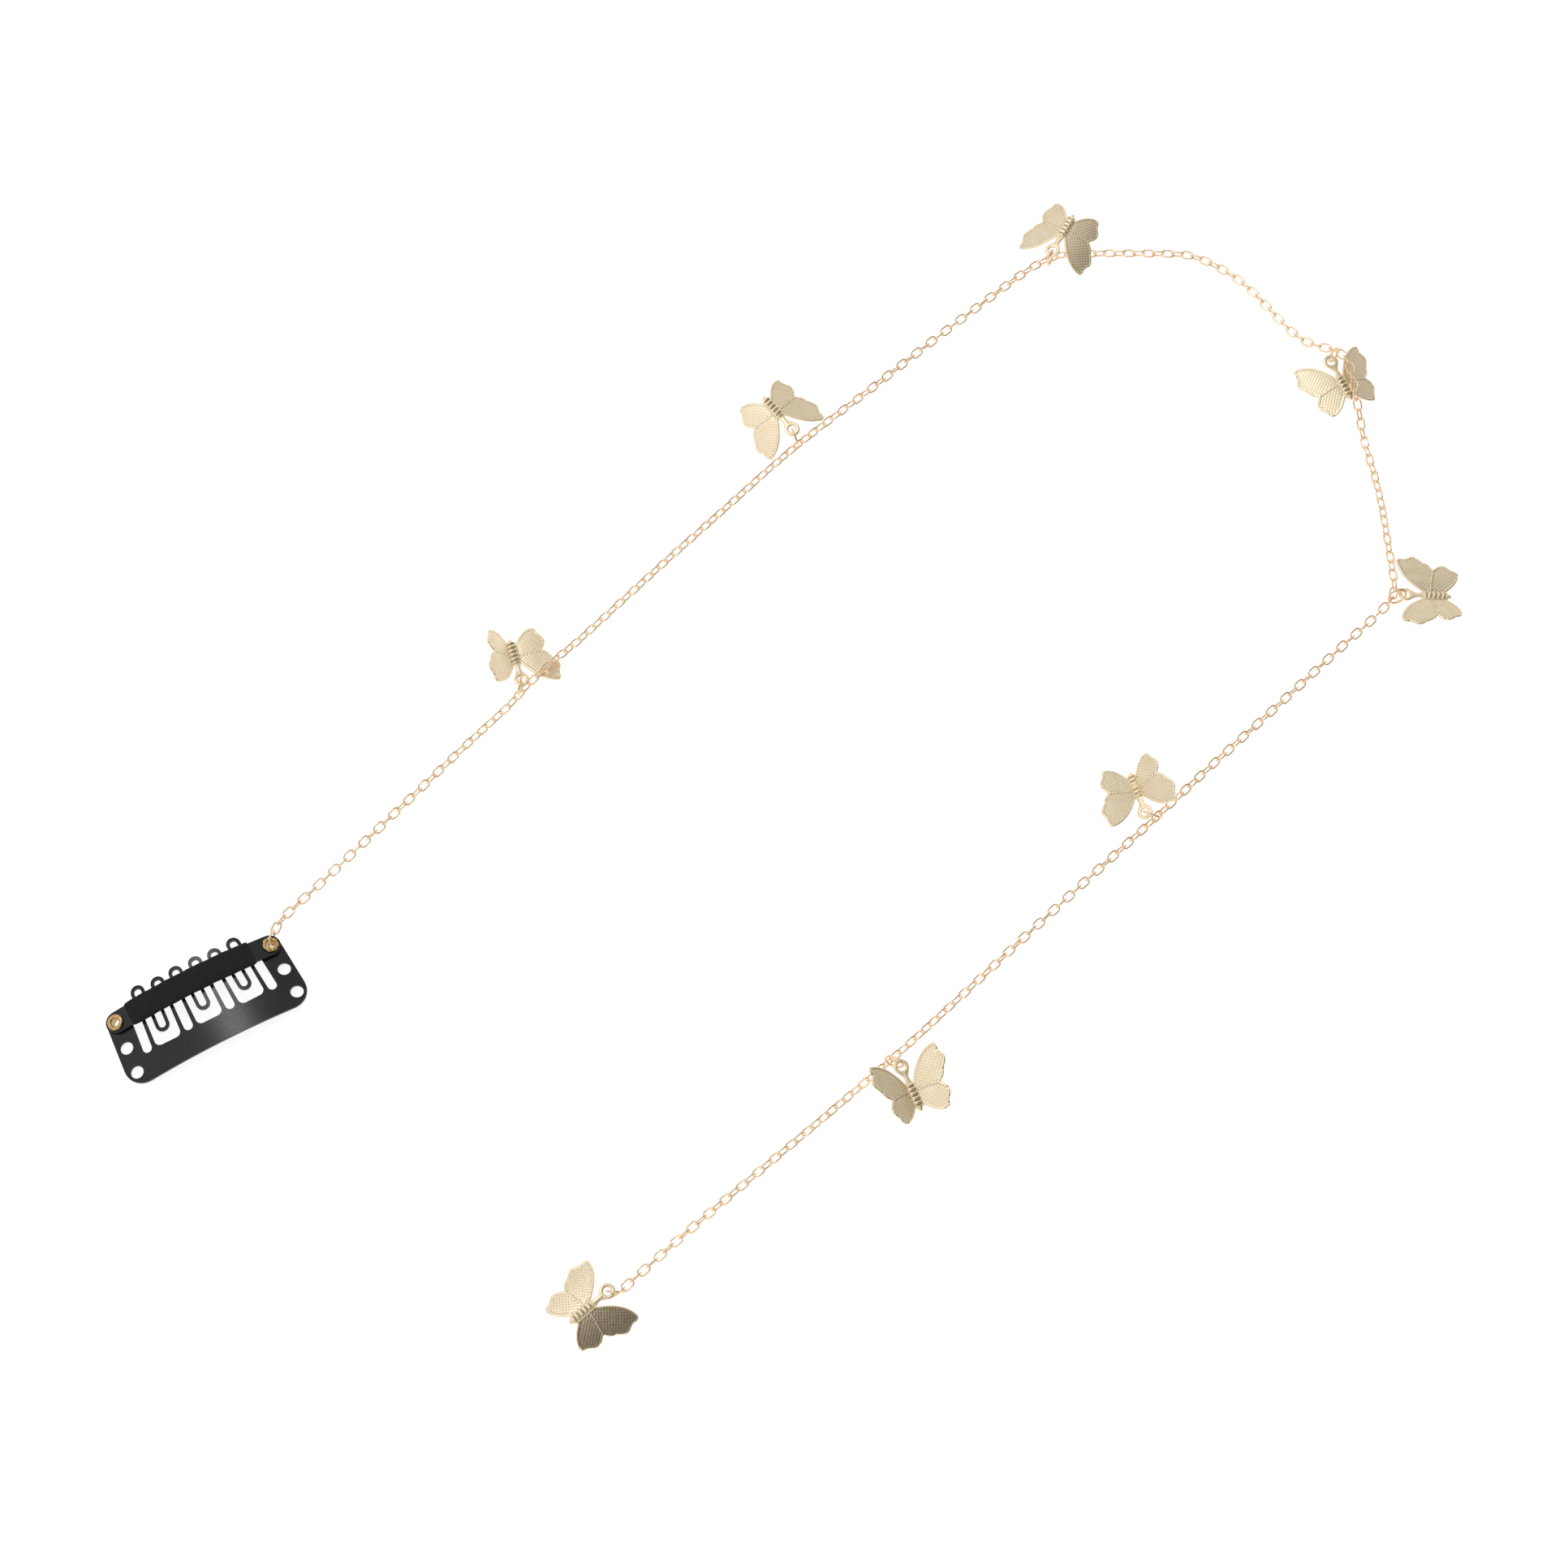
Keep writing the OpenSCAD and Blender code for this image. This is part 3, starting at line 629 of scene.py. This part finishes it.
# the butterflies' weave grooves get painted shade, at half brightness
charm_gold = metal("charm_gold", (0.97, 0.84, 0.62), (0.93, 0.79, 0.56), 0.33, 0.43, hollow_shade_factor=0.5)
eyelet_brass = metal("eyelet_brass", (0.66, 0.47, 0.2), (0.5, 0.33, 0.13), 0.24, 0.38, scale=1.2)
steel = coated_steel()
rubber = sleeve_rubber()


# chain and jump rings

def links_mesh(first, last):
    """Every link from first up to last, each turned a little its own way."""
    line, normals = oval_line(LINK_WIDTH - LINK_WIRE, LINK_LENGTH - LINK_WIDTH)
    mesh = Mesh()
    rng = random.Random(11)
    # the wire is a little thinner where its ends are joined
    sizes = np.full(len(line), LINK_WIRE / 2)
    joint = len(line) // 2 - 1
    sizes[joint] *= 0.9
    local, faces = wire_loop(line, normals, sizes, 10)
    for i in range(first, last):
        centre, d, wide, thick = link_axes(i, math.radians(rng.uniform(-3, 3)))
        flip = 1 if i % 3 else -1
        mesh.add(centre + flip * local[:, :1] * d + flip * local[:, 1:2] * wide + local[:, 2:] * thick, faces)
    return mesh


first_links = CHARMS[2].link + 2
for name, first, last in (("chain_first_run", 0, first_links), ("chain_second_run", first_links, links)):
    run = links_mesh(first, last)
    make_piece("links_" + name, run.all_verts(), run.faces, chain_gold, "chain_metal", name)


def jump_ring(charm):
    """A cut oval ring through the butterfly's eye and the link it hangs on."""
    line, normals = oval_line(RING_WIDTH, RING_STRAIGHT, arc_steps=16)
    line, normals = np.roll(line, -RING_CUT, axis=0), np.roll(normals, -RING_CUT, axis=0)
    line = np.vstack([line, line[:1] + (line[-1:] - line[:1]) * RING_CUT_COVER])
    normals = np.vstack([normals, normals[:1]])
    local, faces = open_wire(line, normals, RING_WIRE / 2, 14)
    eye = charm_origin(charm) + pose_matrix(charm) @ np.array([0, EYE_Y, 0])
    start = link_axes(charm.link)[0]
    span = eye - start
    a = unit(span)
    side = unit(np.cross([0, 0, 1], a))
    tilt = math.radians(charm.ring_tilt)
    w = side * math.cos(tilt) + np.cross(a, side) * math.sin(tilt)
    reach = max(0, np.linalg.norm(span) / 2 - RING_STRAIGHT / 2)
    out = math.sqrt(max(0, RING_WIDTH**2 / 4 - reach**2))
    at = start + span / 2 + out * w
    return at + local[:, :1] * a + local[:, 1:2] * w + local[:, 2:] * np.cross(a, w), faces


for k, charm in enumerate(CHARMS):
    verts, faces = jump_ring(charm)
    make_piece(f"ring_{k + 1}", verts, faces, chain_gold, "chain_metal", f"jump_ring_{k + 1}")


# butterflies

fine_edge = resample(soften(WING, 2), WING_EDGE_STEP)
seam_line = np.array(SEAM)


def seam_height(x):
    """Where the seam between fore wing and hind wing is at x."""
    return np.interp(x, seam_line[:, 0], seam_line[:, 1])


def weave_coords(points):
    """Coordinates along and across the weave; the hind wing's weave leans the other way."""
    fore = points[:, 1] > seam_height(points[:, 0])
    turn = np.where(fore, WEAVE_TURN, -WEAVE_TURN)
    c, s = np.cos(turn), np.sin(turn)
    return points[:, 0] * c + points[:, 1] * s, points[:, 1] * c - points[:, 0] * s


def wing_inner():
    """Points inside the wing, in step with the weave so that its squares come out even."""
    # each wing's own grid first, then a line of points along the seam
    found = []
    for fore, turn in ((True, WEAVE_TURN), (False, -WEAVE_TURN)):
        p = plan_grid(fine_edge, WEAVE_PITCH / WEAVE_STEPS, 0.19, turn)
        p = p[(p[:, 1] > seam_height(p[:, 0])) == fore]
        away, _ = line_distance(p, seam_line)
        found.append(p[away > 0.03])
    along = np.arange(0.35, 4.7, 0.07)
    found.append(np.column_stack([along, seam_height(along)]))
    return np.vstack(found)


wing_points = wing_inner()
wing_coarse = plan_grid(fine_edge, 0.4, 0.3)


def wing_top(points, gap):
    """Raised border nicked along the outer edge, field of small pads, roped seam between the wings."""
    u, v = weave_coords(points)
    field = step_up(gap, *BORDER)
    away, along = line_distance(points, seam_line)
    seam = (1 - step_up(away, *SEAM_BAND)) * step_up(points[:, 0], 0.3, 0.9)
    pads = np.abs(np.cos(math.pi * u / WEAVE_PITCH) * np.cos(math.pi * v / WEAVE_PITCH)) - PAD_MIDDLE
    rope = 0.5 + 0.5 * np.cos(2 * math.pi * along / ROPE_PITCH)
    z = SHEET / 2 - RELIEF * field * (1 - seam) + PAD_HEIGHT * pads * field * (1 - seam)
    z += seam * field * (ROPE_RISE * rope - ROPE_SINK)
    for x, y in NICKS:
        z -= NICK_DEPTH * np.exp(-((points[:, 0] - x) ** 2 + (points[:, 1] - y) ** 2) / NICK_SPREAD)
    return rounded(gap, 0.2) * z


def wing_low(points, gap):
    """Flat back, dished a little inside its rounded edge."""
    return -rounded(gap, 0.16) * (SHEET / 2 - 0.05 * step_up(gap, 0.3, 0.7))


def bent_wing(side, fold):
    """Places a flat wing's points at the fold, with a light crown along the wing."""

    def place(points, z):
        x = points[:, 0] - HINGE
        s = np.clip(x / WING_REACH, 0, 1)
        angle = fold + 0.03 * np.cos(math.pi * s)
        lift = CROWN * np.sin(math.pi * s) * step_up(np.abs(x), 0, 1)
        px = HINGE + x * math.cos(fold) - z * np.sin(angle) - lift * math.sin(fold)
        pz = x * math.sin(fold) + z * np.cos(angle) + lift * math.cos(fold)
        return np.column_stack([side * px, points[:, 1], pz])

    return place


def flipped(faces):
    """Faces turned over, for a mirrored part."""
    return [tuple(reversed(f)) for f in faces]


body_edge = resample(soften(BODY_HALF + [(-x, y) for x, y in BODY_HALF[::-1]], 2), BODY_EDGE_STEP)


def body_part():
    """Body: a flat-backed bar with a rounded crown, cut by short grooves."""

    def top(points, gap):
        # the crown is lower toward head and tail, and the grooves run out before the sides
        crown = rounded(gap, 0.62) * (BODY_HEIGHT - 0.1 * step_up(np.abs(points[:, 1]), 1.5, 2.6))
        middle = 1 - step_up(np.abs(points[:, 0]), 0.36, 0.72)
        cut = np.zeros(len(points))
        for k in range(GROOVES):
            cut += np.exp(-((points[:, 1] - FIRST_GROOVE_Y + GROOVE_PITCH * k) / 0.12) ** 2)
        swell = 0.045 * np.cos(2 * math.pi * (points[:, 1] - FIRST_GROOVE_Y) / GROOVE_PITCH + math.pi)
        ridges = (swell - GROOVE_DEPTH * cut) * middle * rounded(gap, 0.5)
        return np.maximum(crown + ridges, -SHEET / 2 + 0.05)

    def low(points, gap):
        return -rounded(gap, 0.14) * SHEET / 2

    return plate(body_edge, plan_grid(body_edge, 0.07, 0.19), plan_grid(body_edge, 0.3, 0.25), top, low,
                 lambda q, z: np.column_stack([q, z]))


def eye_ring():
    """The hanging eye: a flat ring with well rounded edges."""
    turns, sides = 44, 16
    middle, half = (EYE_SIZE + EYE_HOLE) / 4, (EYE_SIZE - EYE_HOLE) / 4
    rows = []
    for i in range(turns):
        a = 2 * math.pi * i / turns
        b = 2 * math.pi * np.arange(sides) / sides
        c, s = np.cos(b), np.sin(b)
        r = middle + half * np.sign(c) * np.abs(c) ** 0.8
        z = SHEET / 2 * np.sign(s) * np.abs(s) ** 0.8
        rows.append(np.column_stack([r * math.cos(a), EYE_Y + r * math.sin(a), z]))
    return np.vstack(rows), grid_faces(turns, sides)


neck_loop = [(-0.75, 1.3)] + NECK_HALF + [NECK_END] + [(-x, y) for x, y in NECK_HALF[:0:-1]]
neck_edge = resample(soften(neck_loop, 2), NECK_EDGE_STEP)


def neck_part():
    """Neck between head and eye, with a low ridge along its middle."""

    def top(points, gap):
        return rounded(gap, 0.2) * (SHEET / 2 - 0.03 + 0.05 * np.exp(-(points[:, 0] / 0.16) ** 2))

    def low(points, gap):
        return -rounded(gap, 0.16) * SHEET / 2

    return plate(neck_edge, plan_grid(neck_edge, 0.09, 0.17), plan_grid(neck_edge, 0.3, 0.2), top, low,
                 lambda q, z: np.column_stack([q, z]))


body_verts, body_faces = body_part()
neck_verts, neck_faces = neck_part()
for k, charm in enumerate(CHARMS):
    mesh = Mesh()
    for side, fold in ((1, charm.right_fold), (-1, charm.left_fold)):
        verts, faces = plate(fine_edge, wing_points, wing_coarse, wing_top, wing_low,
                             bent_wing(side, math.radians(fold)))
        mesh.add(verts, faces if side > 0 else flipped(faces))
    mesh.add(body_verts, body_faces)
    mesh.add(neck_verts, neck_faces)
    mesh.add(*eye_ring())
    verts = charm_origin(charm) + mesh.all_verts() @ pose_matrix(charm).T
    make_piece(f"stamped_butterfly_{k + 1}", verts, mesh.faces, charm_gold, "butterfly_metal",
               f"butterfly_{k + 1}")


# clip

def eyelet_mesh(side, lobes):
    """Rolled rivet eyelet; its upper rim is split into that many lobes."""
    low, high = -PLATE_THICKNESS - 0.04, BAR_GAP + BAR_THICKNESS + 0.14
    inner, outer, barrel = EYELET_HOLE / 2, EYELET_RIM / 2, EYELET_HOLE / 2 + 0.18
    profile = [(inner, low - 0.1), (inner + 0.06, low - 0.15), (outer - 0.26, low - 0.15),
               (outer - 0.2, low - 0.08), (outer - 0.2, low), (barrel, low), (barrel, high),
               (outer - 0.06, high), (outer, high + 0.06), (outer - 0.02, high + 0.16),
               (outer - 0.12, high + 0.27), (outer - 0.28, high + 0.33), (outer - 0.44, high + 0.32),
               (inner + 0.12, high + 0.26), (inner + 0.03, high + 0.14), (inner, high)]
    turns = 72
    rows = []
    for i in range(turns):
        a = 2 * math.pi * i / turns
        rim = 1.0
        if lobes:
            rim = 1 - 0.32 * abs(math.cos(lobes * a / 2)) ** 9
        row = []
        for r, z in profile:
            if z > high + 0.01:
                r = inner + (r - inner) * (0.35 + 0.65 * rim)
                z = high + (z - high) * (0.45 + 0.55 * rim) + 0.03 * math.sin(lobes * a)
            row.append((r * math.cos(a), r * math.sin(a), z))
        rows.append(row)
    p = np.array(rows).reshape(-1, 3)
    c, s = math.cos(side * EYE_ANGLE), math.sin(side * EYE_ANGLE)
    local = np.column_stack([side * HALF + p[:, 0] * c + p[:, 2] * s, p[:, 1],
                             EYE_TOP_Z + p[:, 2] * c - p[:, 0] * s])
    return clip_points(local), grid_faces(turns, len(profile))


for name, side, lobes in (("left", -1, 0), ("right", 1, EYELET_LOBES)):
    verts, faces = eyelet_mesh(side, lobes)
    make_piece(f"rivet_{name}", verts, faces, eyelet_brass, "eyelet_brass", f"eyelet_{name}")


def clip_ring_mesh():
    """The upright ring through the right eyelet."""
    turns = 48
    a = 2 * math.pi * np.arange(turns) / turns
    circle = np.column_stack([np.cos(a), np.sin(a)])
    local, faces = wire_loop(CLIP_RING_R * circle, circle, np.full(turns, CLIP_RING_WIRE / 2), 12)
    along = np.array([math.cos(CLIP_RING_TURN), math.sin(CLIP_RING_TURN), 0])
    across = np.array([-along[1], along[0], 0])
    up = np.array([0, 0, 1])
    return clip_ring_at + local[:, :1] * along + local[:, 1:2] * up + local[:, 2:] * across, faces


verts, faces = clip_ring_mesh()
make_piece("ring_at_clip", verts, faces, chain_gold, "chain_metal", "clip_ring")


def sleeve_mesh():
    """Rubber tube over the bar: rounded section, softly uneven, closed flat where the bar comes out."""
    steps, sides = 90, 40
    width = BAR_WIDTH / 2 + SLEEVE_SIDE
    over = BAR_THICKNESS + 0.04 + SLEEVE_WALL
    mid, tall = (over - SLEEVE_UNDER) / 2, (over + SLEEVE_UNDER) / 2
    first, last = SLEEVE_MIDDLE - SLEEVE_LENGTH / 2, SLEEVE_MIDDLE + SLEEVE_LENGTH / 2
    rows = []
    for i in range(steps + 1):
        t = i / steps
        x = first + (last - first) * t
        end = min(t, 1 - t) * SLEEVE_LENGTH
        pinch = 1 - 0.06 * math.exp(-end / 0.25)
        swell = 1 + 0.012 * math.sin(1.3 * x) + 0.008 * math.sin(3.1 * x + 1)
        angle = math.asin(x / BAR_LOW_R)
        foot = np.array([BAR_LOW_R * math.sin(angle), 0, BAR_LOW_R * math.cos(angle) - BAR_DOWN])
        normal = np.array([math.sin(angle), 0, math.cos(angle)])
        b = 2 * math.pi * np.arange(sides) / sides
        c, s = np.cos(b), np.sin(b)
        y = width * pinch * swell * np.sign(c) * np.abs(c) ** 0.45
        h = mid + tall * pinch * np.sign(s) * np.abs(s) ** 0.6
        rows.append(foot + h[:, None] * normal + np.column_stack([0 * y, y, 0 * y]))
    faces = grid_faces(steps + 1, sides, close_rows=False)
    faces += [tuple(range(sides))[::-1], tuple(steps * sides + j for j in range(sides))]
    return clip_points(np.vstack(rows)), faces


verts, faces = sleeve_mesh()
make_piece("rubber_sleeve", verts, faces, rubber, "sleeve_rubber", "bar_sleeve")

for name in ("comb_plate", "back_bar"):
    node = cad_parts[name]
    node.data.materials.clear()
    node.data.materials.append(steel)
    soft = node.modifiers.new("soft_edges", "BEVEL")
    soft.width = EDGE_ROUNDING * MM
    soft.segments = 2
    soft.limit_method = "ANGLE"
    soft.angle_limit = EDGE_ANGLE
    soft.harden_normals = False


# stage, camera and light

def floor_material():
    """A plain pale table that glows enough to stay white under soft light."""
    material, nodes, wires, bsdf = new_material("pale_table")
    drift = noise(nodes, wires, 0.02)
    wires.new(ramp(nodes, wires, drift, [(0.3, (0.32, 0.32, 0.32)), (0.7, (0.35, 0.35, 0.35))]),
              bsdf.inputs["Base Color"])
    bsdf.inputs["Roughness"].default_value = 0.8
    bsdf.inputs["Specular IOR Level"].default_value = 0.1
    bsdf.inputs["Emission Color"].default_value = (1, 1, 1, 1)
    bsdf.inputs["Emission Strength"].default_value = 0.86
    return material


bpy.ops.mesh.primitive_plane_add(size=TABLE_SIZE, location=(0, 0, TABLE_Z))
floor = bpy.context.object
floor.name = "table"
floor.data.materials.append(floor_material())

heading = np.array([math.cos(CAMERA_HEADING), math.sin(CAMERA_HEADING), 0])
right = np.array([heading[1], -heading[0], 0])
forward = math.sin(CAMERA_TILT) * heading - math.cos(CAMERA_TILT) * np.array([0, 0, 1])
down = -math.cos(CAMERA_TILT) * heading - math.sin(CAMERA_TILT) * np.array([0, 0, 1])
c, s = math.cos(CAMERA_ROLL), math.sin(CAMERA_ROLL)
cam_x, cam_y = c * right + s * down, s * right - c * down
camera_data = bpy.data.cameras.new("camera")
camera_data.lens = CAMERA_LENS
camera_data.sensor_width = SENSOR_WIDTH
camera_data.sensor_fit = "AUTO"
camera_data.clip_start = 0.01
camera = bpy.data.objects.new("camera", camera_data)
bpy.context.scene.collection.objects.link(camera)
spot = np.append(CAMERA_FOOT, CAMERA_HEIGHT) * MM
rows = [[cam_x[i], cam_y[i], -forward[i], spot[i]] for i in range(3)]
camera.matrix_world = Matrix(rows + [[0, 0, 0, 1]])
bpy.context.scene.camera = camera


def area_light(name, direction, distance, size, energy):
    """A square soft box that looks at the middle of the table from that direction."""
    data = bpy.data.lights.new(name, "AREA")
    data.shape = "SQUARE"
    data.size = size
    data.energy = energy
    light = bpy.data.objects.new(name, data)
    bpy.context.scene.collection.objects.link(light)
    place = Vector(unit(direction)) * distance
    light.location = place
    light.rotation_euler = (-place).to_track_quat("-Z", "Y").to_euler()


def toward(turn, rise):
    """Direction that lies turn degrees to the right of the camera's heading and rise above the table."""
    a, b = math.radians(turn), math.radians(rise)
    return (heading * math.cos(a) + right * math.sin(a)) * math.cos(b) + np.array([0, 0, math.sin(b)])


for name, (turn, rise), distance, size, energy in SOFT_BOXES:
    area_light(name, toward(turn, rise), distance, size, energy)

world = bpy.data.worlds.new("studio")
world.use_nodes = True
bpy.context.scene.world = world
nodes, wires = world.node_tree.nodes, world.node_tree.links
coords = nodes.new("ShaderNodeTexCoord")
lobe = nodes.new("ShaderNodeVectorMath")
lobe.operation = "DOT_PRODUCT"
lobe.inputs[1].default_value = tuple(toward(*DARK_SIDE))
wires.new(coords.outputs["Generated"], lobe.inputs[0])
wires.new(ramp(nodes, wires, lobe.outputs["Value"], STUDIO_SHADES), nodes["Background"].inputs["Color"])
nodes["Background"].inputs["Strength"].default_value = 1.0
bpy.context.scene.view_settings.view_transform = "Standard"
